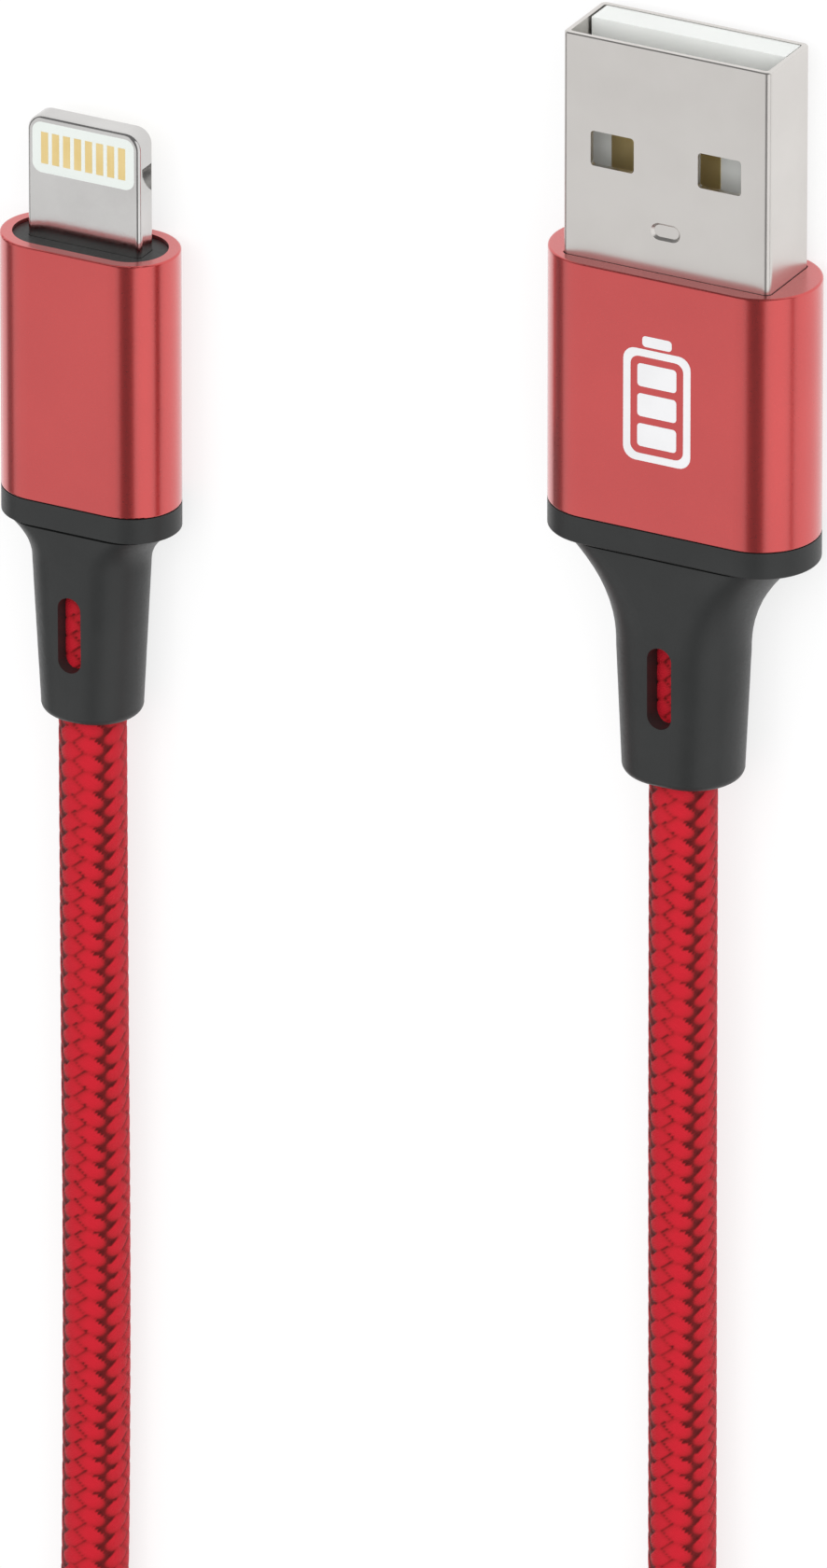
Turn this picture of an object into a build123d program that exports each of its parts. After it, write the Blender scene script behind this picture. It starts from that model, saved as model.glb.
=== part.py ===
from build123d import *

import math
import os
from dataclasses import dataclass

# A phone charging cable laid flat: a rectangular type-A plug and a slim phone plug side by side,
# joined by one braided cord whose spare length is wound into a round coil behind them.
# Millimetres. +X runs from the phone plug to the type-A plug, +Y is the way both plugs go in,
# +Z is up off the table. The origin is under the middle of the two plugs, on the table.
# Each plug is drawn in its own frame: x across, y up, z from its tip back towards the cord.

CLEARANCE = 0.02
PLUG_SPACING = 35.125
PHONE_SETBACK = 11.95


@dataclass
class Relief:
    """The moulded collar and strain relief behind a sleeve. Distances run back from the sleeve's end."""

    collar: float
    collar_round: float
    flare_width: float
    flare_thickness: float
    flare_end: float
    body_width: float
    body_thickness: float
    end_width: float
    end_thickness: float
    length: float
    slot_centre: float
    slot_length: float
    slot_width: float


@dataclass
class Plug:
    """What both plugs share: the aluminium sleeve, its bore and what the cord ends in."""

    sleeve_start: float
    sleeve_length: float
    sleeve_width: float
    sleeve_thickness: float
    wall: float
    relief: Relief
    wire_start: float
    wire_spacing: float
    wire_height: float
    jacket_start: float

    @property
    def sleeve_end(self):
        return self.sleeve_start + self.sleeve_length

    @property
    def cord_start(self):
        return self.sleeve_end - SPIGOT

    @property
    def length(self):
        return self.sleeve_end + self.relief.length


SPIGOT = 1.0
EDGE_ROUND = 0.12
FLARE_POWER = 2.3
FLARE_STATIONS = 5
RELIEF_LIP = 0.6
RELIEF_END_ROUND = 0.5
SEAM_WIDTH = 0.12
SEAM_DEPTH = 0.22

TYPE_A = Plug(
    sleeve_start=12.4,
    sleeve_length=14.3,
    sleeve_width=15.2,
    sleeve_thickness=6.3,
    wall=0.5,
    relief=Relief(
        collar=1.5,
        collar_round=0.15,
        flare_width=13.3,
        flare_thickness=5.9,
        flare_end=7.6,
        body_width=7.2,
        body_thickness=5.6,
        end_width=6.5,
        end_thickness=5.5,
        length=14.65,
        slot_centre=8.9,
        slot_length=4.6,
        slot_width=1.4,
    ),
    wire_start=18.6,
    wire_spacing=2.5,
    wire_height=0.15,
    jacket_start=23.6,
)
PHONE = Plug(
    sleeve_start=6.7,
    sleeve_length=14.4,
    sleeve_width=10.05,
    sleeve_thickness=5.25,
    wall=0.65,
    relief=Relief(
        collar=1.4,
        collar_round=0.05,
        flare_width=9.6,
        flare_thickness=5.12,
        flare_end=3.9,
        body_width=6.4,
        body_thickness=5.1,
        end_width=5.4,
        end_thickness=5.05,
        length=12.45,
        slot_centre=7.3,
        slot_length=4.3,
        slot_width=1.35,
    ),
    wire_start=16.4,
    wire_spacing=1.5,
    wire_height=0.6,
    jacket_start=18.2,
)

# Where the two plugs lie: the middle of both together is over the origin, and both rest on z = 0.
TYPE_A_X = (PLUG_SPACING + (PHONE.sleeve_width - TYPE_A.sleeve_width) / 2) / 2
PHONE_X = TYPE_A_X - PLUG_SPACING
TYPE_A_TIP_Y = (PHONE_SETBACK + PHONE.length) / 2
PHONE_TIP_Y = TYPE_A_TIP_Y - PHONE_SETBACK

# Type-A plug, behind the pressed steel shell's mouth.
SHELL_WIDTH = 12.0
SHELL_THICKNESS = 4.5
SHELL_WALL = 0.3
SHELL_CORNER = 0.35
SHELL_LENGTH = 18.2
SHELL_SEAM = 0.08
SHELL_MOUTH_CHAMFER = 0.06
WINDOW_WIDTH = 2.5
WINDOW_LENGTH = 1.95
WINDOW_OFFSET = 3.1
WINDOW_CENTRE = 6.17
WINDOW_CORNER = 0.2
DIMPLE_WIDTH = 1.7
DIMPLE_LENGTH = 0.95
DIMPLE_CENTRE = 10.07
DIMPLE_DEPTH = 0.14
SLEEVE_FRONT_WALL = 1.0
TONGUE_START = 0.05
TONGUE_END = 11.5
TONGUE_WIDTH = 11.2
TONGUE_THICKNESS = 1.7
REAR_BLOCK_END = 17.4
CONTACT_PITCH = 2.5
CONTACT_WIDTH = 1.3
CONTACT_THICKNESS = 0.3
CONTACT_PROUD = 0.05
CONTACT_START = 1.6
TAIL_WIDTH = 0.9
TAIL_END = 20.4
CONTACT_NAMES = ("ground", "data_plus", "data_minus", "power")

# Phone plug, a flat blade with eight pads on each face.
BLADE_WIDTH = 6.7
BLADE_THICKNESS = 1.5
BLADE_LENGTH = 10.2
BLADE_CORNER = 0.9
BLADE_EDGE_ROUND = 0.28
PANEL_WIDTH = 6.0
PANEL_LENGTH = 2.86
PANEL_START = 0.3
PANEL_CORNER = 0.55
PAD_COUNT = 8
PAD_PITCH = 0.65
PAD_WIDTH = 0.42
PAD_LENGTH = 1.78
PAD_START = 0.85
PAD_PROUD = 0.01
DETENT_RADIUS = 1.3
DETENT_DEPTH = 0.25
DETENT_CENTRE = 2.7
DETENT_THICKNESS = 1.0
BOARD_THICKNESS = 0.6
BOARD_NECK_WIDTH = 5.2
BOARD_WIDTH = 6.2
BOARD_START = 0.5
BOARD_NECK_END = 10.4
BOARD_END = 16.7
CHIP_SIZE = (2.4, 0.7, 2.0)
CHIP_CENTRE = 13.2
CAPACITOR_SIZE = (0.5, 0.5, 1.0)
CAPACITOR_PITCH = 1.4
CAPACITOR_COUNT = 3
CAN_WIDTH = 6.6
CAN_THICKNESS = 3.2
CAN_WALL = 0.15
CAN_START = 10.6
CAN_END = 16.0
INSERT_RECESS = 0.2
INSERT_LENGTH = 3.0

# Cord: a braid over a jacket with four insulated wires in it.
CORD_DIAMETER = 3.6
JACKET_DIAMETER = 2.6
CRIMP_WALL = 0.4
CRIMP_INSET = 0.3
WIRE_DIAMETER = 0.55
WIRE_PITCH_IN_JACKET = 0.6
WIRE_BEND_RADIUS = 0.3
WIRE_LEAD = 0.5
WIRE_COLOURS = ("black", "green", "white", "red")

# The two free stretches, from inside each strain relief to the coil's outer turns.
TYPE_A_ROUTE = [
    (16.275, -2.95, 3.15),
    (16.275, -31.5, 3.15),
    (15.75, -60.0, 1.9),
    (16.8, -84.0, 3.9),
    (22.5, -101.85, 5.4),
]
PHONE_ROUTE = [
    (-18.85, -9.3, 2.625),
    (-18.85, -34.0, 2.625),
    (-19.1, -59.0, 1.95),
    (-19.55, -84.0, 1.8),
    (-25.9, -102.3, 1.8),
]

# The put-away length: a coil of two layers of turns.
COIL_CENTRE = (-1.0, -110.4)
COIL_OUTER_RADIUS = 26.2
COIL_INNER_RADIUS = 14.7
COIL_LAYERS = 2
COIL_RIM_ROUND = 1.2
COIL_NOTCH = CORD_DIAMETER + 0.3


def prism(outline, start, end):
    """The outline, drawn across the plug, from one distance behind the tip to another."""
    return Pos(0, 0, start) * extrude(outline, amount=end - start)


def broadside(outline, depth):
    """The outline, drawn on the plug's broad face, cut or grown to that depth either side."""
    return extrude(Plane.XZ * outline, amount=depth, both=True)


def bar(width, low, high, start, end, x=0.0):
    """A rectangular bar between two heights and two distances behind the tip."""
    section = Pos(x, (low + high) / 2) * Rectangle(width, high - low)
    return prism(section, start, end)


def tube_along(path, diameter):
    """A round rod along a path."""
    return sweep(Plane(origin=path @ 0, z_dir=path % 0) * Circle(diameter / 2), path=path)


def edges_across(shape, where):
    """The outer edge loop of the flat face at a prism's start or end."""
    face = shape.faces().sort_by(Axis.Z)[0 if where == "start" else -1]
    return face.outer_wire().edges()


# Pieces that both plugs have.


def housing(plug, opening=None):
    """The anodised sleeve: an obround tube, closed at the front where an opening is given."""
    outline = SlotOverall(plug.sleeve_width, plug.sleeve_thickness)
    bore = SlotOverall(plug.sleeve_width - 2 * plug.wall, plug.sleeve_thickness - 2 * plug.wall)
    sleeve = prism(outline, plug.sleeve_start, plug.sleeve_end)
    sleeve = fillet(edges_across(sleeve, "start") + edges_across(sleeve, "end"), EDGE_ROUND)
    bore_start = plug.sleeve_start
    if opening is not None:
        bore_start += SLEEVE_FRONT_WALL
        sleeve -= prism(opening, plug.sleeve_start, bore_start)
    return sleeve - prism(bore, bore_start, plug.sleeve_end)


def filled_section(plug):
    """The obround that fills the sleeve's bore."""
    shrink = 2 * (plug.wall + CLEARANCE)
    return SlotOverall(plug.sleeve_width - shrink, plug.sleeve_thickness - shrink)


def between(first, last, fraction):
    """The value that far from the first to the last."""
    return first + (last - first) * fraction


def relief_section(plug, distance):
    """The strain relief's obround section at a distance behind the sleeve."""
    relief = plug.relief
    if distance < relief.flare_end:
        left = (relief.flare_end - distance) / (relief.flare_end - relief.collar)
        rise = left**FLARE_POWER
        width = between(relief.body_width, relief.flare_width, rise)
        thickness = between(relief.body_thickness, relief.flare_thickness, rise)
    else:
        along = (distance - relief.flare_end) / (relief.length - relief.flare_end)
        width = between(relief.body_width, relief.end_width, along)
        thickness = between(relief.body_thickness, relief.end_thickness, along)
    return Pos(0, 0, plug.sleeve_end + distance) * SlotOverall(width, thickness)


def relief_seam(plug):
    """The narrow groove that parts the collar from the flare."""
    relief = plug.relief
    around = SlotOverall(plug.sleeve_width, plug.sleeve_thickness)
    neck = SlotOverall(relief.flare_width - 2 * SEAM_DEPTH, relief.flare_thickness - 2 * SEAM_DEPTH)
    start = plug.sleeve_end + relief.collar
    return prism(around - neck, start, start + SEAM_WIDTH)


def strain_relief(plug):
    """Collar, flare and tapered sleeve in one moulding, with a slot through to the cord."""
    relief = plug.relief
    start = plug.sleeve_end
    flare_step = (relief.flare_end - relief.collar) / FLARE_STATIONS
    flare_distances = [relief.collar + i * flare_step for i in range(FLARE_STATIONS + 1)]
    lip_start = relief.length - RELIEF_LIP
    flare = loft([relief_section(plug, distance) for distance in flare_distances])
    taper = loft([relief_section(plug, distance) for distance in (relief.flare_end, lip_start)])
    lip = extrude(relief_section(plug, lip_start), amount=RELIEF_LIP, dir=(0, 0, 1))
    lip = fillet(edges_across(lip, "end"), RELIEF_END_ROUND)
    collar = prism(
        SlotOverall(plug.sleeve_width, plug.sleeve_thickness), start, start + relief.collar
    )
    collar = fillet(edges_across(collar, "end"), relief.collar_round)
    spigot = prism(filled_section(plug), plug.cord_start, start)
    moulding = spigot + collar + flare + taper + lip
    moulding -= relief_seam(plug)
    moulding -= prism(Circle(CORD_DIAMETER / 2), plug.cord_start, plug.length)
    slot = Rot(0, 0, 90) * SlotOverall(relief.slot_length, relief.slot_width)
    return moulding - Pos(0, 0, start + relief.slot_centre) * broadside(slot, relief.body_width)


def jacket(plug):
    """The stripped end of the cord's inner jacket."""
    return prism(Circle(JACKET_DIAMETER / 2), plug.jacket_start, plug.cord_start)


def crimp_ring(plug):
    """The metal ring crimped on the jacket, which takes the pull of the cord."""
    ring = Circle(JACKET_DIAMETER / 2 + CRIMP_WALL) - Circle(JACKET_DIAMETER / 2)
    return prism(ring, plug.jacket_start + CRIMP_INSET, plug.cord_start - CRIMP_INSET)


def wires(plug):
    """Four wires, from their solder points to the end of the jacket, left to right."""
    made = []
    for i in range(len(WIRE_COLOURS)):
        place = i - (len(WIRE_COLOURS) - 1) / 2
        solder_x = place * plug.wire_spacing
        jacket_x = place * WIRE_PITCH_IN_JACKET
        path = FilletPolyline(
            (solder_x, plug.wire_height, plug.wire_start),
            (solder_x, plug.wire_height, plug.wire_start + WIRE_LEAD),
            (jacket_x, 0, plug.jacket_start - WIRE_LEAD),
            (jacket_x, 0, plug.jacket_start),
            radius=WIRE_BEND_RADIUS,
        )
        made.append(tube_along(path, WIRE_DIAMETER))
    return made


def cord_end(plug):
    """What the inner mould has to leave room for at the cord's end."""
    return jacket(plug) + crimp_ring(plug) + wires(plug)


# Pieces of the type-A plug.


def both_sides(offset):
    """The same distance either side of the plug's middle."""
    return (-offset, offset)


def stop_dimple():
    """The recess pressed in the shell's upper face, its walls sloping in as far as it is deep."""
    face_height = SHELL_THICKNESS / 2
    sections = []
    for depth in (0, DIMPLE_DEPTH):
        outline = SlotOverall(DIMPLE_WIDTH - 2 * depth, DIMPLE_LENGTH - 2 * depth)
        sections.append(Pos(0, face_height - depth, DIMPLE_CENTRE) * (Plane.XZ * outline))
    return loft(sections)


def type_a_shell():
    """A folded steel sheath with two latch windows in each broad face and a stop dimple."""
    outer = RectangleRounded(SHELL_WIDTH, SHELL_THICKNESS, SHELL_CORNER)
    inner = RectangleRounded(
        SHELL_WIDTH - 2 * SHELL_WALL, SHELL_THICKNESS - 2 * SHELL_WALL, SHELL_CORNER / 2
    )
    shell = prism(outer, 0, SHELL_LENGTH)
    shell = chamfer(edges_across(shell, "start"), SHELL_MOUTH_CHAMFER)
    shell -= prism(inner, 0, SHELL_LENGTH)
    window = RectangleRounded(WINDOW_WIDTH, WINDOW_LENGTH, WINDOW_CORNER)
    for x in both_sides(WINDOW_OFFSET):
        shell -= Pos(x, 0, WINDOW_CENTRE) * broadside(window, SHELL_THICKNESS)
    shell -= stop_dimple()
    seam_height = -SHELL_THICKNESS / 2
    return shell - bar(SHELL_SEAM, seam_height, seam_height + SHELL_SEAM, 0, SHELL_LENGTH)


def type_a_opening():
    """The sleeve's opening round the shell."""
    return RectangleRounded(
        SHELL_WIDTH + 4 * CLEARANCE, SHELL_THICKNESS + 4 * CLEARANCE, SHELL_CORNER
    )


TONGUE_LOW = -SHELL_THICKNESS / 2 + SHELL_WALL + CLEARANCE
TONGUE_HIGH = TONGUE_LOW + TONGUE_THICKNESS
CONTACT_HIGH = TONGUE_HIGH + CONTACT_PROUD
CONTACT_LOW = CONTACT_HIGH - CONTACT_THICKNESS


def type_a_contacts():
    """Four strips inlaid in the tongue, each with a narrower solder tail behind the shell."""
    made = []
    for i in range(len(CONTACT_NAMES)):
        x = (i - (len(CONTACT_NAMES) - 1) / 2) * CONTACT_PITCH
        strip = bar(CONTACT_WIDTH, CONTACT_LOW, CONTACT_HIGH, CONTACT_START, TONGUE_END, x)
        tail = bar(TAIL_WIDTH, CONTACT_LOW, CONTACT_HIGH, TONGUE_END, TAIL_END, x)
        made.append(strip + tail)
    return made


def type_a_tongue(contacts):
    """The insulating tongue that carries the contacts."""
    return bar(TONGUE_WIDTH, TONGUE_LOW, TONGUE_HIGH, TONGUE_START, TONGUE_END) - contacts


def type_a_rear_block(contacts):
    """The insulator that closes the shell behind the tongue."""
    return bar(TONGUE_WIDTH, TONGUE_LOW, -TONGUE_LOW, TONGUE_END, REAR_BLOCK_END) - contacts


def type_a_inner_mould(plug, contacts):
    """The moulding that fills the sleeve round the shell, the solder joints and the wires."""
    start = plug.sleeve_start + SLEEVE_FRONT_WALL + CLEARANCE
    mould = prism(filled_section(plug), start, plug.cord_start)
    mould -= bar(SHELL_WIDTH, -SHELL_THICKNESS / 2, SHELL_THICKNESS / 2, start, SHELL_LENGTH)
    return mould - contacts - cord_end(plug)


# Pieces of the phone plug.


def panel():
    """The insulating panel's outline on the blade's broad face."""
    centre = PANEL_START + PANEL_LENGTH / 2
    return Pos(0, 0, centre) * broadside(
        RectangleRounded(PANEL_WIDTH, PANEL_LENGTH, PANEL_CORNER), BLADE_THICKNESS / 2
    )


def phone_blade_frame():
    """The blade's metal frame, open round the panel, with a latch notch in each narrow side."""
    outline = RectangleRounded(BLADE_WIDTH, BLADE_LENGTH, BLADE_CORNER)
    blade = Pos(0, 0, BLADE_LENGTH / 2) * broadside(outline, BLADE_THICKNESS / 2)
    broad_faces = blade.faces().sort_by(Axis.Y)
    blade = fillet(broad_faces[0].edges() + broad_faces[-1].edges(), BLADE_EDGE_ROUND)
    blade -= panel()
    slot_width = BOARD_NECK_WIDTH + 2 * CLEARANCE
    half_slot = BOARD_THICKNESS / 2 + CLEARANCE
    blade -= bar(slot_width, -half_slot, half_slot, PANEL_START + PANEL_LENGTH / 2, BLADE_LENGTH)
    for x in both_sides(BLADE_WIDTH / 2 + DETENT_RADIUS - DETENT_DEPTH):
        notch = broadside(Circle(DETENT_RADIUS), DETENT_THICKNESS / 2)
        blade -= Pos(x, 0, DETENT_CENTRE) * notch
    return blade


def phone_circuit_board():
    """The board: a neck that runs up the blade, and a wider tail in the sleeve."""
    half = BOARD_THICKNESS / 2
    neck = bar(BOARD_NECK_WIDTH, -half, half, BOARD_START, BOARD_NECK_END)
    return neck + bar(BOARD_WIDTH, -half, half, BOARD_NECK_END, BOARD_END)


def phone_contacts(side):
    """Eight pads on one face of the blade, standing on the board."""
    low = BOARD_THICKNESS / 2
    high = BLADE_THICKNESS / 2 + PAD_PROUD
    pads = []
    for i in range(PAD_COUNT):
        x = (i - (PAD_COUNT - 1) / 2) * PAD_PITCH
        heights = sorted((side * low, side * high))
        pads.append(bar(PAD_WIDTH, *heights, PAD_START, PAD_START + PAD_LENGTH, x))
    return Compound(children=pads)


def phone_control_chip():
    """The authentication chip on the board's upper face."""
    width, height, length = CHIP_SIZE
    low = BOARD_THICKNESS / 2
    start = CHIP_CENTRE - length / 2
    return bar(width, low, low + height, start, start + length)


def phone_capacitors():
    """Small capacitors on the board's lower face."""
    width, height, length = CAPACITOR_SIZE
    high = -BOARD_THICKNESS / 2
    start = CHIP_CENTRE - length / 2
    made = []
    for i in range(CAPACITOR_COUNT):
        x = (i - (CAPACITOR_COUNT - 1) / 2) * CAPACITOR_PITCH
        made.append(bar(width, high - height, high, start, start + length, x))
    return Compound(children=made)


def phone_shield_can():
    """The steel can round the board."""
    outer = RectangleRounded(CAN_WIDTH, CAN_THICKNESS, 2 * CAN_WALL)
    inner = RectangleRounded(CAN_WIDTH - 2 * CAN_WALL, CAN_THICKNESS - 2 * CAN_WALL, CAN_WALL)
    return prism(outer - inner, CAN_START, CAN_END)


def phone_nose_insert(plug):
    """The black insert that fills the sleeve's mouth round the blade."""
    start = plug.sleeve_start + INSERT_RECESS
    insert = prism(filled_section(plug), start, start + INSERT_LENGTH)
    gap = 2 * CLEARANCE
    hole = RectangleRounded(BLADE_WIDTH + gap, BLADE_THICKNESS + gap, BLADE_EDGE_ROUND)
    return insert - prism(hole, start, start + INSERT_LENGTH)


def phone_inner_mould(plug):
    """The moulding behind the insert, round the can, the solder joints and the wires."""
    start = plug.sleeve_start + INSERT_RECESS + INSERT_LENGTH
    mould = prism(filled_section(plug), start, plug.cord_start)
    mould -= bar(CAN_WIDTH, -CAN_THICKNESS / 2, CAN_THICKNESS / 2, start, CAN_END)
    return mould - phone_circuit_board() - cord_end(plug)


# The cord.


def cord_tail(points):
    """A free stretch of cord: straight runs joined by arcs as large as the runs allow."""
    corners = [Vector(*point) for point in points]
    runs = [b - a for a, b in zip(corners, corners[1:])]
    radii = []
    for before, after in zip(runs, runs[1:]):
        half_turn = math.radians(before.get_angle(after)) / 2
        radii.append(0.45 * min(before.length, after.length) / math.tan(half_turn))
    print("bend radii in diameters:", [round(r / CORD_DIAMETER, 1) for r in radii])
    path = FilletPolyline(*corners, radius=radii)
    tail = tube_along(path, CORD_DIAMETER)
    rod_volume = math.pi * CORD_DIAMETER**2 / 4 * path.length
    print("length", round(path.length, 1), "volume ratio", round(tail.volume / rod_volume, 4))
    return tail


def coil_notch(points):
    """The room that a tail's last run takes in the coil, open above where the tail is in the top layer."""
    end, before = Vector(*points[-1]), Vector(*points[-2])
    run = before - end
    layer_below_top = end.Z + CORD_DIAMETER < COIL_LAYERS * CORD_DIAMETER
    height = COIL_NOTCH if layer_below_top else 2 * COIL_NOTCH
    outline = Rectangle(COIL_NOTCH, height, align=(Align.CENTER, Align.MIN))
    across = Vector(0, 0, 1).cross(run)
    section = Plane(origin=end, x_dir=across, z_dir=run) * Pos(0, -COIL_NOTCH / 2) * outline
    return extrude(section, amount=run.length)


def cord_coil(routes):
    """The outer shape of the wound turns, with a notch where each tail comes in."""
    half = CORD_DIAMETER / 2
    height = COIL_LAYERS * CORD_DIAMETER
    inner = COIL_INNER_RADIUS - half
    outer = COIL_OUTER_RADIUS + half
    ring = extrude(Circle(outer) - Circle(inner), amount=height)
    rims = ring.edges().filter_by(GeomType.CIRCLE)
    ring = fillet(rims, COIL_RIM_ROUND)
    return Pos(*COIL_CENTRE, 0) * ring - [coil_notch(points) for points in routes]


def main():
    os.makedirs("parts", exist_ok=True)
    contacts = type_a_contacts()
    type_a = {
        "type_a_shell": type_a_shell(),
        "type_a_tongue": type_a_tongue(contacts),
        "type_a_rear_block": type_a_rear_block(contacts),
        "type_a_inner_mould": type_a_inner_mould(TYPE_A, contacts),
        "type_a_housing": housing(TYPE_A, type_a_opening()),
        "type_a_strain_relief": strain_relief(TYPE_A),
        "type_a_cord_jacket": jacket(TYPE_A),
        "type_a_crimp_ring": crimp_ring(TYPE_A),
    }
    for name, contact in zip(CONTACT_NAMES, contacts):
        type_a[f"type_a_contact_{name}"] = contact
    for colour, wire in zip(WIRE_COLOURS, wires(TYPE_A)):
        type_a[f"type_a_wire_{colour}"] = wire

    front, back = phone_contacts(1), phone_contacts(-1)
    phone = {
        "phone_blade_frame": phone_blade_frame(),
        "phone_contact_panel": panel() - phone_circuit_board() - front.solids() - back.solids(),
        "phone_contacts_front": front,
        "phone_contacts_back": back,
        "phone_circuit_board": phone_circuit_board(),
        "phone_control_chip": phone_control_chip(),
        "phone_capacitors": phone_capacitors(),
        "phone_shield_can": phone_shield_can(),
        "phone_nose_insert": phone_nose_insert(PHONE),
        "phone_inner_mould": phone_inner_mould(PHONE),
        "phone_housing": housing(PHONE),
        "phone_strain_relief": strain_relief(PHONE),
        "phone_cord_jacket": jacket(PHONE),
        "phone_crimp_ring": crimp_ring(PHONE),
    }
    for colour, wire in zip(WIRE_COLOURS, wires(PHONE)):
        phone[f"phone_wire_{colour}"] = wire

    nodes = {}
    places = (
        (type_a, TYPE_A_X, TYPE_A_TIP_Y, TYPE_A.sleeve_thickness / 2),
        (phone, PHONE_X, PHONE_TIP_Y, PHONE.sleeve_thickness / 2),
    )
    for pieces, x, tip_y, axis_z in places:
        frame = Plane(origin=(x, tip_y, axis_z), x_dir=(1, 0, 0), z_dir=(0, -1, 0))
        for name, piece in pieces.items():
            nodes[name] = frame * piece

    nodes["cord_type_a_tail"] = cord_tail(TYPE_A_ROUTE)
    nodes["cord_phone_tail"] = cord_tail(PHONE_ROUTE)
    nodes["cord_coil"] = cord_coil((TYPE_A_ROUTE, PHONE_ROUTE))

    for name, shape in nodes.items():
        export_step(shape, f"parts/{name}.step")
    return nodes


main()
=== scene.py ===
"""The looks of a red braided charging cable: two plugs side by side, the spare length coiled behind."""

import math

import bpy
import numpy as np
from mathutils import Matrix, Vector


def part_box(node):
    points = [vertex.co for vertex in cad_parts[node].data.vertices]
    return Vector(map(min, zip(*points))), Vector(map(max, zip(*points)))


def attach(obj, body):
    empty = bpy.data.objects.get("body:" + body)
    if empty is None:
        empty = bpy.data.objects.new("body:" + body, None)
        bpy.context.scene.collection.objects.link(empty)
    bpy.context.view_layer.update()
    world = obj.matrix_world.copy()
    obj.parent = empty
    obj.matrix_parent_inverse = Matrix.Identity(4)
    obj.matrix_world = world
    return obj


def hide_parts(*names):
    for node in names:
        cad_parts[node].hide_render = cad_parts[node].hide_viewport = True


MM = 0.001

# Camera: it looks down from above, turned about the plugs' axis towards +X and leaned towards their tips.
# The aim is measured from the type-A plug's tip.
CAMERA_TURN = math.radians(27.9)
CAMERA_LIFT = math.radians(24.7)
CAMERA_LENS = 700
CAMERA_DISTANCE = 1588.8 * MM
AIM_BEHIND_TIP = 45.53 * MM
AIM_LEFT_OF_TYPE_A = 15.83 * MM
SENSOR_WIDTH = 36
CLIP_START, CLIP_END = 0.1, 20

# Cord: the listed route of each free stretch, from inside its strain relief to the coil.
CORD_DIAMETER = 3.6 * MM
TYPE_A_ROUTE = [
    (0.016275, -0.00295, 0.00315),
    (0.016275, -0.0315, 0.00315),
    (0.01575, -0.0600, 0.0019),
    (0.0168, -0.0840, 0.0039),
    (0.0225, -0.10185, 0.0054),
]
PHONE_ROUTE = [
    (-0.01885, -0.0093, 0.002625),
    (-0.01885, -0.0340, 0.002625),
    (-0.0191, -0.0590, 0.00195),
    (-0.01955, -0.0840, 0.0018),
    (-0.0259, -0.1023, 0.0018),
]

# The coil, seen from above: centre, and how radius and height go from the phone plug's tail, which
# comes in on the left, to the type-A plug's tail, which leaves on the right.
COIL_CENTRE = Vector((-1.0 * MM, -110.4 * MM, 0))
COIL_POINTS_PER_TURN = 16
COIL_START_ANGLE = math.radians(162)
COIL_STATIONS = [  # turns, radius, height of the cord's middle
    (0.0, 26.2 * MM, 1.8 * MM),
    (3.2, 14.7 * MM, 1.8 * MM),
    (3.7, 14.7 * MM, 5.4 * MM),
    (6.606, 25.0 * MM, 5.4 * MM),
]


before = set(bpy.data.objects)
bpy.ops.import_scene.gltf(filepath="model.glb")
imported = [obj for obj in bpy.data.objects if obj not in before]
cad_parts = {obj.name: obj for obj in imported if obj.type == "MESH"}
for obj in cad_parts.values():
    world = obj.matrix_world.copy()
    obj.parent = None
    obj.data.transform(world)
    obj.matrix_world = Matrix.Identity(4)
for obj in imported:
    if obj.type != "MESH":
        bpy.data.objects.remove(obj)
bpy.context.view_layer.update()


def middle(node):
    low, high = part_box(node)
    return (Vector(low) + Vector(high)) / 2


TYPE_A_AXIS = middle("type_a_housing")
TYPE_A_TIP_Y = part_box("type_a_shell")[1][1]


def add_camera():
    """A long lens at the viewing angle: the camera's own axes are made from its turn and lift."""
    turn, lift = CAMERA_TURN, CAMERA_LIFT
    back = Vector((math.sin(turn) * math.cos(lift), math.sin(lift), math.cos(turn) * math.cos(lift)))
    right = Vector((math.cos(turn), 0, -math.sin(turn)))
    up = back.cross(right)
    aim = Vector((TYPE_A_AXIS.x - AIM_LEFT_OF_TYPE_A, TYPE_A_TIP_Y - AIM_BEHIND_TIP, TYPE_A_AXIS.z))
    data = bpy.data.cameras.new("camera")
    data.lens = CAMERA_LENS
    data.sensor_width = SENSOR_WIDTH
    data.clip_start = CLIP_START
    data.clip_end = CLIP_END
    camera = bpy.data.objects.new("camera", data)
    bpy.context.collection.objects.link(camera)
    axes = Matrix((right, up, back)).transposed().to_4x4()
    camera.matrix_world = Matrix.Translation(aim + back * CAMERA_DISTANCE) @ axes
    bpy.context.scene.camera = camera


add_camera()


# Materials


def node_material(name):
    material = bpy.data.materials.new(name)
    material.use_nodes = True
    shader = material.node_tree.nodes["Principled BSDF"]
    return material, material.node_tree, shader


def add_node(tree, kind, **settings):
    node = tree.nodes.new(kind)
    for key, value in settings.items():
        setattr(node, key, value)
    return node


def noise(tree, scale, detail=4.0, stretch=(1, 1, 1), roughness=0.5):
    """Noise in object space, its grain stretched along an axis by a smaller number there."""
    coordinates = add_node(tree, "ShaderNodeTexCoord")
    mapping = add_node(tree, "ShaderNodeMapping")
    mapping.inputs["Scale"].default_value = stretch
    texture = add_node(tree, "ShaderNodeTexNoise")
    texture.inputs["Scale"].default_value = scale
    texture.inputs["Detail"].default_value = detail
    texture.inputs["Roughness"].default_value = roughness
    tree.links.new(coordinates.outputs["Object"], mapping.inputs["Vector"])
    tree.links.new(mapping.outputs["Vector"], texture.inputs["Vector"])
    return texture.outputs["Fac"]


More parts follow.
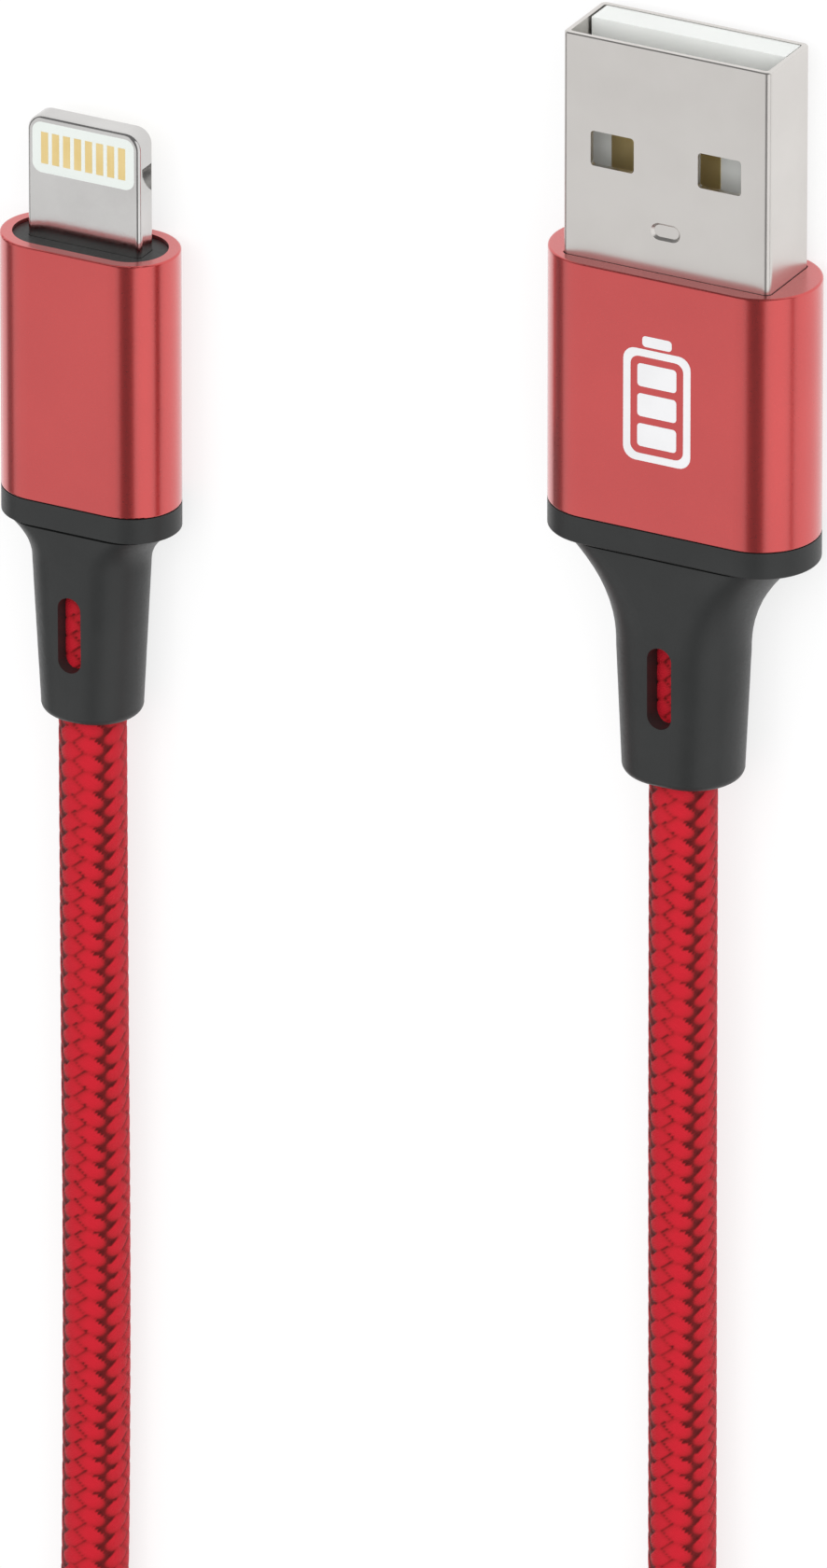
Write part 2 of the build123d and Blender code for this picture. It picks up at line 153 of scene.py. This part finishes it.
def ramp(tree, value, stops):
    """A colour ramp through (position, colour) stops."""
    node = add_node(tree, "ShaderNodeValToRGB")
    elements = node.color_ramp.elements
    while len(elements) < len(stops):
        elements.new(0.5)
    for element, (position, colour) in zip(elements, stops):
        element.position = position
        element.color = colour
    tree.links.new(value, node.inputs["Fac"])
    return node.outputs["Color"]


def grey(value):
    return (value, value, value, 1)


def bump(tree, shader, height, distance, strength=1.0):
    node = add_node(tree, "ShaderNodeBump")
    node.inputs["Distance"].default_value = distance
    node.inputs["Strength"].default_value = strength
    tree.links.new(height, node.inputs["Height"])
    tree.links.new(node.outputs["Normal"], shader.inputs["Normal"])


def vary_roughness(tree, shader, value, low, high):
    tree.links.new(ramp(tree, value, [(0.3, grey(low)), (0.7, grey(high))]), shader.inputs["Roughness"])


def vary_colour(tree, shader, value, first, second):
    tree.links.new(ramp(tree, value, [(0.35, first), (0.65, second)]), shader.inputs["Base Color"])


def anodised_red():
    """Satin anodised aluminium: fine bead-blast grain under a clear glaze."""
    material, tree, shader = node_material("anodised_red")
    shader.inputs["Metallic"].default_value = 1.0
    shader.inputs["Coat Weight"].default_value = 1.0
    shader.inputs["Coat Roughness"].default_value = 0.2
    shader.inputs["Coat IOR"].default_value = 1.8
    grain = noise(tree, 9000, detail=3)
    cloud = noise(tree, 160)
    vary_colour(tree, shader, cloud, (0.60, 0.026, 0.026, 1), (0.64, 0.032, 0.031, 1))
    vary_roughness(tree, shader, grain, 0.27, 0.33)
    bump(tree, shader, grain, 0.004 * MM, 0.35)
    return material


def plug_steel():
    """Nickel-plated steel, faintly brushed along the plug."""
    material, tree, shader = node_material("plug_steel")
    shader.inputs["Metallic"].default_value = 1.0
    grain = noise(tree, 5200, detail=3, stretch=(1, 0.04, 1))
    vary_colour(tree, shader, noise(tree, 260), (0.655, 0.63, 0.605, 1), (0.685, 0.66, 0.635, 1))
    vary_roughness(tree, shader, grain, 0.275, 0.288)
    bump(tree, shader, grain, 0.001 * MM, 0.08)
    return material


def polished_steel():
    """The blade's frame, polished, with a faint haze."""
    material, tree, shader = node_material("polished_steel")
    shader.inputs["Metallic"].default_value = 1.0
    grain = noise(tree, 6500, detail=3)
    vary_colour(tree, shader, noise(tree, 300), (0.60, 0.59, 0.58, 1), (0.65, 0.64, 0.63, 1))
    vary_roughness(tree, shader, grain, 0.13, 0.2)
    bump(tree, shader, grain, 0.002 * MM, 0.25)
    return material


def moulded(name, first, second, roughness, gloss=0.5, grain_scale=7000, depth=0.006):
    """Spark-eroded moulded plastic: a fine even texture and a slight change of tone."""
    material, tree, shader = node_material(name)
    shader.inputs["Specular IOR Level"].default_value = gloss
    grain = noise(tree, grain_scale, detail=4)
    vary_colour(tree, shader, noise(tree, 200), first, second)
    vary_roughness(tree, shader, grain, roughness - 0.04, roughness + 0.05)
    bump(tree, shader, grain, depth * MM, 0.5)
    return material


def contact_gold():
    """Gold flash over nickel, with fine wipe lines along the plug."""
    material, tree, shader = node_material("contact_gold")
    shader.inputs["Metallic"].default_value = 0.75
    grain = noise(tree, 8000, detail=3, stretch=(1, 0.05, 1))
    vary_colour(tree, shader, noise(tree, 500), (0.83, 0.63, 0.27, 1), (0.88, 0.69, 0.33, 1))
    vary_roughness(tree, shader, grain, 0.32, 0.44)
    bump(tree, shader, grain, 0.002 * MM, 0.3)
    return material


def braid_red():
    """Polyester yarn: fine filaments along each strand, and painted shade in the gaps where strands dive,
    the colour darkening as the braid's height falls.
    """
    material, tree, shader = node_material("braid_red")
    depth = add_node(tree, "ShaderNodeAttribute", attribute_name="braid_height_for_painted_shade").outputs["Fac"]
    along = add_node(tree, "ShaderNodeAttribute", attribute_name="filament").outputs["Fac"]
    wave = add_node(tree, "ShaderNodeMath", operation="SINE")
    tree.links.new(along, wave.inputs[0])
    # Painted shade: the red darkens as the braid's height falls, darkest in the gaps where strands dive
    # and at their ends.
    colour = ramp(tree, depth, [
        (0.0, (0.07, 0.005, 0.006, 1)),
        (0.56, (0.14, 0.007, 0.008, 1)),
        (0.8, (0.4, 0.012, 0.019, 1)),
        (1.0, (0.5, 0.013, 0.025, 1)),
    ])
    tree.links.new(colour, shader.inputs["Base Color"])
    vary_roughness(tree, shader, noise(tree, 4000), 0.5, 0.62)
    shader.inputs["Specular IOR Level"].default_value = 0.12
    shader.inputs["Sheen Weight"].default_value = 0.02
    bump(tree, shader, wave.outputs["Value"], 0.015 * MM, 0.3)
    return material


BLACK = ((0.019, 0.020, 0.020, 1), (0.024, 0.025, 0.025, 1))
MATERIALS = {
    "anodised": anodised_red(),
    "steel": plug_steel(),
    "polished": polished_steel(),
    "black": moulded("black_plastic", *BLACK, roughness=0.4, gloss=0.32),
    "white": moulded("white_plastic", (0.8, 0.82, 0.8, 1), (0.84, 0.86, 0.84, 1), roughness=0.38),
    "panel": moulded("panel_plastic", (0.66, 0.7, 0.67, 1), (0.69, 0.73, 0.7, 1), roughness=0.38),
    "gold": contact_gold(),
    "board": moulded("board_green", (0.03, 0.16, 0.07, 1), (0.04, 0.2, 0.09, 1), roughness=0.35),
    "chip": moulded("chip_black", (0.02, 0.02, 0.02, 1), (0.03, 0.03, 0.03, 1), roughness=0.6),
    "ceramic": moulded("capacitor_tan", (0.42, 0.29, 0.17, 1), (0.5, 0.36, 0.22, 1), roughness=0.5),
    "inner": moulded("inner_plastic", (0.68, 0.68, 0.65, 1), (0.74, 0.74, 0.71, 1), roughness=0.45),
    "jacket": moulded("jacket_rubber", (0.05, 0.05, 0.05, 1), (0.07, 0.07, 0.07, 1), roughness=0.7),
    "wire_black": moulded("wire_black", (0.02, 0.02, 0.02, 1), (0.03, 0.03, 0.03, 1), roughness=0.35),
    "wire_green": moulded("wire_green", (0.02, 0.3, 0.07, 1), (0.03, 0.35, 0.09, 1), roughness=0.35),
    "wire_white": moulded("wire_white", (0.8, 0.8, 0.78, 1), (0.86, 0.86, 0.84, 1), roughness=0.35),
    "wire_red": moulded("wire_red", (0.5, 0.02, 0.02, 1), (0.58, 0.03, 0.03, 1), roughness=0.35),
    "print": moulded("printed_ink", (0.68, 0.68, 0.69, 1), (0.73, 0.73, 0.74, 1), roughness=0.4),
    "braid": braid_red(),
}
NODE_MATERIALS = {
    "anodised": ("type_a_housing", "phone_housing"),
    "steel": ("type_a_shell", "phone_shield_can"),
    "polished": ("phone_blade_frame",),
    "black": ("type_a_strain_relief", "phone_strain_relief", "phone_nose_insert"),
    "white": ("type_a_tongue",),
    "panel": ("phone_contact_panel",),
    "gold": (
        "type_a_contact_ground", "type_a_contact_data_plus", "type_a_contact_data_minus",
        "type_a_contact_power", "phone_contacts_front", "phone_contacts_back",
        "type_a_crimp_ring", "phone_crimp_ring",
    ),
    "board": ("phone_circuit_board",),
    "chip": ("phone_control_chip",),
    "ceramic": ("phone_capacitors",),
    "inner": ("type_a_rear_block", "type_a_inner_mould", "phone_inner_mould"),
    "jacket": ("type_a_cord_jacket", "phone_cord_jacket"),
    "wire_black": ("type_a_wire_black", "phone_wire_black"),
    "wire_green": ("type_a_wire_green", "phone_wire_green"),
    "wire_white": ("type_a_wire_white", "phone_wire_white"),
    "wire_red": ("type_a_wire_red", "phone_wire_red"),
}


def dress_cad_nodes():
    for key, names in NODE_MATERIALS.items():
        for name in names:
            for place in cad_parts[name].material_slots:
                place.material = MATERIALS[key]


dress_cad_nodes()


# The cord


def coil_point(turns):
    """A point of the coil after that many turns, from the stations' radii and heights."""
    knots = [station[0] for station in COIL_STATIONS]
    radius = np.interp(turns, knots, [station[1] for station in COIL_STATIONS])
    height = np.interp(turns, knots, [station[2] for station in COIL_STATIONS])
    angle = COIL_START_ANGLE + turns * math.tau
    return COIL_CENTRE + Vector((radius * math.cos(angle), radius * math.sin(angle), height))


def cord_points():
    """The whole route, from the type-A plug, through the coil, to the phone plug."""
    total = COIL_STATIONS[-1][0]
    steps = round(total * COIL_POINTS_PER_TURN)
    coil = [coil_point(total * (1 - i / steps)) for i in range(1, steps)]
    return [*TYPE_A_ROUTE, *coil, *reversed(PHONE_ROUTE)]


def nurbs_line(name, points):
    data = bpy.data.curves.new(name, "CURVE")
    data.dimensions = "3D"
    data.resolution_u = 48
    spline = data.splines.new("NURBS")
    spline.points.add(len(points) - 1)
    for place, point in zip(spline.points, points):
        place.co = (*point, 1)
    spline.order_u = 3
    spline.use_endpoint_u = True
    return bpy.data.objects.new(name, data)


def read_line(curve):
    """The smooth line's own points, as Blender makes them for a curve with no bevel."""
    mesh = bpy.data.meshes.new_from_object(curve)
    return np.array([vertex.co[:] for vertex in mesh.vertices])


# The braid: strands in each direction, how far apart along the cord, and how deep its gaps are. Each
# drop is the share of that depth that is lost at a strand's edge, at its ends, and in the gap between.
# A phase is where the strands stand round the cord, counted in strands.
BRAID_STRANDS = 8
BRAID_PITCH = 1.03 * MM
BRAID_DEPTH = 0.11 * MM
BRAID_EDGE_DROP = 0.05
BRAID_DEEP_END_DROP = 0.65
BRAID_SHALLOW_END_DROP = 0.5
BRAID_GAP_DROP = 0.75
BRAID_PHASE_AT_TYPE_A = 1.82
BRAID_PHASE_AT_PHONE = 0.68
FILAMENTS_PER_STRAND = 7
JACKET_RADIUS = 1.38 * MM
JACKET_STEP, JACKET_SIDES = 0.8 * MM, 16
FINE_LENGTH = 100 * MM
FINE_STEP, FINE_SIDES = 0.13 * MM, 72
COIL_STEP, COIL_SIDES = 0.3 * MM, 34


def braid_surface(around, phase, distance, deep_side):
    """Height of the braid, 0 to 1, and a coordinate across the strand on top there.

    Strands run both ways round the cord. Each passes over two and under two, so those on top lie in
    columns along the cord that slant by turns one way and the other. Every second line between two
    columns is deep; deep_side, 1 or -1, says which.
    """
    turn = around + phase
    lift = distance / BRAID_PITCH
    first, second = turn - lift, turn + lift
    first_index, second_index = np.round(first), np.round(second)
    across_first, across_second = first - first_index, second - second_index
    cell = np.mod(first_index + second_index, 4)
    first_on_top = cell < 2
    across = np.where(first_on_top, across_first, across_second)
    along = np.where(first_on_top, cell + across_second, cell - 2 + across_first) - 0.5
    toward_deep = deep_side * np.where(first_on_top, along, -along)
    deep = np.clip(toward_deep, 0, 1)
    shallow = np.clip(-toward_deep, 0, 1)
    edge = np.abs(2 * across) ** 3
    ends = BRAID_DEEP_END_DROP * deep ** 2.5 + BRAID_SHALLOW_END_DROP * shallow ** 5
    height = 1 - BRAID_EDGE_DROP * edge - ends - BRAID_GAP_DROP * edge * deep ** 1.6
    return np.maximum(height, 0), across


def resample(line, start, end, step):
    """Points at even distances along a line, from one distance to another, and those distances."""
    run = np.concatenate([[0], np.cumsum(np.linalg.norm(np.diff(line, axis=0), axis=1))])
    distances = np.linspace(start, end, round((end - start) / step) + 1)
    points = np.stack([np.interp(distances, run, line[:, k]) for k in range(3)], axis=1)
    return points, distances


def cross_axes(points):
    """Two unit vectors across the line at each point, the first as upright as it can be."""
    tangent = np.gradient(points, axis=0)
    tangent /= np.linalg.norm(tangent, axis=1)[:, None]
    side = np.cross(tangent, (0, 0, 1))
    side /= np.linalg.norm(side, axis=1)[:, None]
    return np.cross(side, tangent), side


def grid_mesh(name, rings, attributes=()):
    """A closed tube from an array of rings of points, with named values on its points."""
    count, sides = rings.shape[:2]
    index = np.arange(count * sides).reshape(count, sides)
    after = np.roll(index, -1, axis=1)
    quads = np.stack([index[:-1], index[1:], after[1:], after[:-1]], axis=-1).reshape(-1, 4)
    caps = [tuple(index[0]), tuple(index[-1][::-1])]
    mesh = bpy.data.meshes.new(name)
    mesh.from_pydata(rings.reshape(-1, 3).tolist(), [], [*quads.tolist(), *caps])
    for attribute, values in attributes:
        layer = mesh.attributes.new(attribute, "FLOAT", "POINT")
        layer.data.foreach_set("value", values.reshape(-1).astype(np.float32))
    mesh.polygons.foreach_set("use_smooth", [True] * len(quads) + [False] * len(caps))
    piece = bpy.data.objects.new(name, mesh)
    bpy.context.collection.objects.link(piece)
    return piece


def sweep_rings(points, radius, sides):
    """Rings round a line; radius is one number, or one for each point and side."""
    up, side = cross_axes(points)
    angle = np.arange(sides) * math.tau / sides
    out = up[:, None, :] * np.cos(angle)[None, :, None] + side[:, None, :] * np.sin(angle)[None, :, None]
    return points[:, None, :] + out * np.broadcast_to(radius, (len(points), sides))[..., None]


def braid_piece(name, line, total, start, end, step, sides, deep_side):
    points, distances = resample(line, start, end, step)
    around = np.arange(sides)[None, :] / sides * BRAID_STRANDS
    share = (distances / total)[:, None]
    phase = BRAID_PHASE_AT_TYPE_A + (BRAID_PHASE_AT_PHONE - BRAID_PHASE_AT_TYPE_A) * share
    height, across = braid_surface(around, phase, distances[:, None], deep_side)
    radius = CORD_DIAMETER / 2 - BRAID_DEPTH * (1 - height)
    filament = across * math.tau * FILAMENTS_PER_STRAND
    rings = sweep_rings(points, radius, sides)
    # The height is also kept on the points for the braid's material, which paints shade with it: darker
    # where the braid is lower.
    return grid_mesh(name, rings, [("braid_height_for_painted_shade", height), ("filament", filament)])


def place_piece(piece, material):
    piece.data.materials.append(MATERIALS[material])
    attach(piece, "root")


def add_cord():
    line = read_line(nurbs_line("cord_line", cord_points()))
    total = float(np.linalg.norm(np.diff(line, axis=0), axis=1).sum())
    core, _ = resample(line, 0, total, JACKET_STEP)
    jacket = grid_mesh("cord_jacket", sweep_rings(core, JACKET_RADIUS, JACKET_SIDES))
    place_piece(jacket, "jacket")
    fine_end = total - FINE_LENGTH
    sleeves = [
        braid_piece("cord_braid_type_a", line, total, 0, FINE_LENGTH, FINE_STEP, FINE_SIDES, 1),
        braid_piece("cord_braid_coil", line, total, FINE_LENGTH, fine_end, COIL_STEP, COIL_SIDES, 1),
        braid_piece("cord_braid_phone", line, total, fine_end, total, FINE_STEP, FINE_SIDES, -1),
    ]
    for sleeve in sleeves:
        place_piece(sleeve, "braid")
    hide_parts("cord_type_a_tail")
    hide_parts("cord_coil")
    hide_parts("cord_phone_tail")


add_cord()


# The mark on the type-A sleeve: a generic battery, printed.
MARK_WIDTH = 3.9 * MM
MARK_HEIGHT = 6.3 * MM
MARK_LINE = 0.42 * MM
MARK_CORNER = 0.7 * MM
MARK_NUB_WIDTH = 1.7 * MM
MARK_NUB_HEIGHT = 0.6 * MM
MARK_NUB_GAP = 0.15 * MM
MARK_SMALL_CORNER = 0.2 * MM
MARK_BARS = 3
MARK_GAP = 0.4 * MM
INK_THICKNESS = 0.012 * MM


def rounded_rectangle(width, height, corner, centre_y=0.0, steps=6):
    """Points round a rectangle whose corners are arcs."""
    points = []
    for quarter in range(4):
        angle = quarter * math.pi / 2
        across = 1 if quarter in (0, 3) else -1
        upward = 1 if quarter in (0, 1) else -1
        for i in range(steps + 1):
            turn = angle + i / steps * math.pi / 2
            x = across * (width / 2 - corner) + corner * math.cos(turn)
            y = upward * (height / 2 - corner) + corner * math.sin(turn)
            points.append((x, y + centre_y))
    return points


def printed_plate(name, loops):
    """A thin plate of ink. A loop inside another is a hole."""
    data = bpy.data.curves.new(name, "CURVE")
    data.dimensions = "2D"
    data.fill_mode = "BOTH"
    data.extrude = INK_THICKNESS / 2
    for loop in loops:
        spline = data.splines.new("POLY")
        spline.points.add(len(loop) - 1)
        for place, (x, y) in zip(spline.points, loop):
            place.co = (x, y, 0, 1)
        spline.use_cyclic_u = True
    mesh = bpy.data.meshes.new_from_object(bpy.data.objects.new(name, data))
    piece = bpy.data.objects.new(name, mesh)
    bpy.context.collection.objects.link(piece)
    return piece


def add_mark():
    inner_width = MARK_WIDTH - 2 * MARK_LINE
    inner_height = MARK_HEIGHT - 2 * MARK_LINE
    loops = [
        rounded_rectangle(MARK_WIDTH, MARK_HEIGHT, MARK_CORNER),
        rounded_rectangle(inner_width, inner_height, MARK_CORNER - MARK_LINE / 2),
    ]
    nub_y = MARK_HEIGHT / 2 + MARK_NUB_HEIGHT / 2 + MARK_NUB_GAP
    loops.append(rounded_rectangle(MARK_NUB_WIDTH, MARK_NUB_HEIGHT, MARK_SMALL_CORNER, nub_y))
    bar_height = (inner_height - MARK_GAP) / MARK_BARS - MARK_GAP
    for i in range(MARK_BARS):
        low = -inner_height / 2 + MARK_GAP + i * (bar_height + MARK_GAP)
        bar_width = inner_width - 2 * MARK_GAP
        loops.append(rounded_rectangle(bar_width, bar_height, MARK_SMALL_CORNER, low + bar_height / 2))
    mark = printed_plate("printed_mark", loops)
    sleeve_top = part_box("type_a_housing")[1][2]
    mark.data.transform(Matrix.Translation((TYPE_A_AXIS.x, TYPE_A_AXIS.y, sleeve_top)))
    place_piece(mark, "print")


add_mark()


# Stage: a pale floor under soft studio light.
LIGHT_DISTANCE = 1.0
WORLD_LEVEL = 0.2
FLOOR_GLOW = 0.74
FLOOR_SIZE = 6


def add_floor():
    material, _, shader = node_material("pale_floor")
    shader.inputs["Base Color"].default_value = (0.25, 0.25, 0.25, 1)
    shader.inputs["Roughness"].default_value = 0.9
    shader.inputs["Specular IOR Level"].default_value = 0.0
    shader.inputs["Emission Color"].default_value = (1, 1, 1, 1)
    shader.inputs["Emission Strength"].default_value = FLOOR_GLOW
    bpy.ops.mesh.primitive_plane_add(size=FLOOR_SIZE)
    floor = bpy.context.object
    floor.name = "floor"
    floor.data.materials.append(material)


def softbox(name, lean, back, width, height, level, glossy=True):
    """A soft light. It leans from the upright towards +X by lean, then towards -Y by back, in degrees."""
    lean, back = math.radians(lean), math.radians(back)
    away = Vector((math.sin(lean) * math.cos(back), -math.sin(back), math.cos(lean) * math.cos(back)))
    data = bpy.data.lights.new(name, "AREA")
    data.shape = "RECTANGLE"
    data.size = width
    data.size_y = height
    data.energy = level * math.pi * width * height
    light = bpy.data.objects.new(name, data)
    along = Vector((0, 1, 0))
    across = along.cross(away).normalized()
    along = away.cross(across)
    light.matrix_world = Matrix((across, along, away)).transposed().to_4x4()
    light.location = away * LIGHT_DISTANCE
    light.visible_glossy = glossy
    bpy.context.collection.objects.link(light)


def add_world():
    world = bpy.data.worlds.new("studio")
    world.use_nodes = True
    background = world.node_tree.nodes["Background"]
    background.inputs["Color"].default_value = (1, 1, 1, 1)
    background.inputs["Strength"].default_value = WORLD_LEVEL
    bpy.context.scene.world = world


add_floor()
add_world()
softbox("front_softbox", -34, 10, 1.25, 2.3, 0.7)
softbox("right_softbox", 58, 10, 0.88, 2.3, 0.9)
softbox("fill", 15, -30, 1.2, 1.2, 2.4, glossy=False)
bpy.context.scene.view_settings.view_transform = "Standard"
